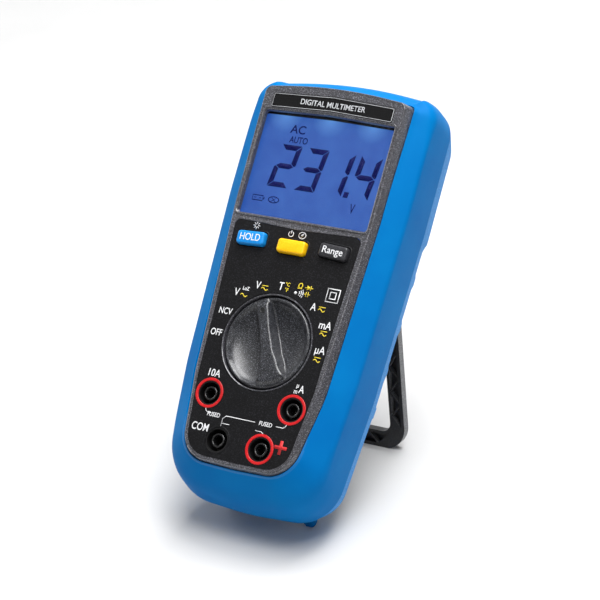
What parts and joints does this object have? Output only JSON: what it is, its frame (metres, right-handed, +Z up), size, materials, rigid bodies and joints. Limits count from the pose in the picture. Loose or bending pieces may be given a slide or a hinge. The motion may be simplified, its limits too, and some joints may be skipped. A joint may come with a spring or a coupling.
{
  "type": "handheld digital multimeter",
  "caption": "Handheld digital multimeter in a blue rubber holster, leaning on its fold-out tilt stand, with a rotary selector, keys, input jacks and a backlit display.",
  "frame": {"origin": "centre of the footprint, on the bench top under the meter as it leans on its open stand", "axes": "+Z up from the bench, +X to the right across the face, +Y away from the user; the face looks towards -Y and leans back"},
  "size_m": [0.0804, 0.1354, 0.1532],
  "materials": {
    "holster": "matt moulded blue thermoplastic rubber",
    "front_case": "speckled dark grey moulded ABS",
    "rear_case": "dark grey moulded ABS",
    "panel_overlay": "fine speckled black printed panel",
    "title_plate": "black strip",
    "display_lens": "clear acrylic window",
    "lcd_glass": "blue backlit liquid crystal cell",
    "backlight_guide": "milky light guide",
    "lcd_frame": "white moulded frame",
    "contact_strips": "layered conductive elastomer",
    "backlight_leds": "surface mounted lamps",
    "main_board": "green solder mask on glass epoxy",
    "board_screws": "plated steel",
    "selector_knob": "satin dark grey",
    "switch_rotor": "white acetal",
    "detent_springs": "spring steel",
    "detent_balls": "hardened steel",
    "contact_brushes": "plated phosphor bronze",
    "rotor_screw": "plated steel",
    "key_contacts": "carbon printed pads",
    "key_mat": "silicone mat",
    "hold_button": "blue moulded key",
    "select_button": "yellow moulded key",
    "range_button": "dark grey moulded key",
    "jack_shrouds": "black insulating cups",
    "jack_rings": "red collars",
    "fuse_high_current": "ceramic tube with plated caps",
    "fuse_low_current": "ceramic tube with plated caps",
    "fuse_clips": "plated brass",
    "battery_left": "wrapped cell",
    "battery_right": "wrapped cell",
    "battery_contacts": "nickel plated spring strip",
    "battery_door": "dark grey moulded ABS",
    "battery_door_screw": "plated steel",
    "case_screws": "plated steel",
    "buzzer": "black housing",
    "processor_chip": "black epoxy package",
    "input_thermistor": "lacquered ceramic disc",
    "current_shunt": "resistance alloy wire",
    "input_resistors": "lacquered film",
    "tilt_stand": "black moulded nylon",
    "stand_pins": "steel",
    "jack_socket_com": "nickel plated brass",
    "jack_socket_volt": "nickel plated brass",
    "jack_socket_high_current": "nickel plated brass",
    "jack_socket_low_current": "nickel plated brass"
  },
  "bodies": {
    "meter": {"holster": "holster", "front_case": "front_case", "rear_case": "rear_case", "panel_overlay": "panel_overlay", "title_plate": "title_plate", "display_lens": "display_lens", "lcd_glass": "lcd_glass", "backlight_guide": "backlight_guide", "lcd_frame": "lcd_frame", "contact_strips": "contact_strips", "backlight_leds": "backlight_leds", "main_board": "main_board", "board_screws": "board_screws", "key_contacts": "key_contacts", "key_mat": "key_mat", "jack_shrouds": "jack_shrouds", "jack_rings": "jack_rings", "fuse_high_current": "fuse_high_current", "fuse_low_current": "fuse_low_current", "fuse_clips": "fuse_clips", "battery_left": "battery_left", "battery_right": "battery_right", "battery_contacts": "battery_contacts", "battery_door": "battery_door", "battery_door_screw": "battery_door_screw", "case_screws": "case_screws", "buzzer": "buzzer", "processor_chip": "processor_chip", "input_thermistor": "input_thermistor", "current_shunt": "current_shunt", "input_resistors": "input_resistors", "stand_pins": "stand_pins", "jack_socket_com": "jack_socket_com", "jack_socket_volt": "jack_socket_volt", "jack_socket_high_current": "jack_socket_high_current", "jack_socket_low_current": "jack_socket_low_current"},
    "selector": {"selector_knob": "selector_knob", "switch_rotor": "switch_rotor", "detent_springs": "detent_springs", "detent_balls": "detent_balls", "contact_brushes": "contact_brushes", "rotor_screw": "rotor_screw"},
    "hold_key": {"hold_button": "hold_button"},
    "select_key": {"select_button": "select_button"},
    "range_key": {"range_button": "range_button"},
    "stand": {"tilt_stand": "tilt_stand"}
  },
  "joints": [
    {"name": "selector_turn", "type": "hinge", "parent": "meter", "child": "selector", "pos_m": [0, -0.03476, 0.07454], "axis": [0, -0.7547, 0.6561], "range_deg": [-112.5, 67.5]},
    {"name": "hold_press", "type": "slide", "parent": "meter", "child": "hold_key", "axis": [0, 0.7547, -0.6561], "range_m": [0, 0.001], "stiffness_N_per_m": 1500},
    {"name": "select_press", "type": "slide", "parent": "meter", "child": "select_key", "axis": [0, 0.7547, -0.6561], "range_m": [0, 0.001], "stiffness_N_per_m": 1500},
    {"name": "range_press", "type": "slide", "parent": "meter", "child": "range_key", "axis": [0, 0.7547, -0.6561], "range_m": [0, 0.001], "stiffness_N_per_m": 1500},
    {"name": "stand_fold", "type": "hinge", "parent": "meter", "child": "stand", "pos_m": [0, 0.03458, 0.08847], "axis": [1, 0, 0], "range_deg": [-34.2, 0]}
  ]
}
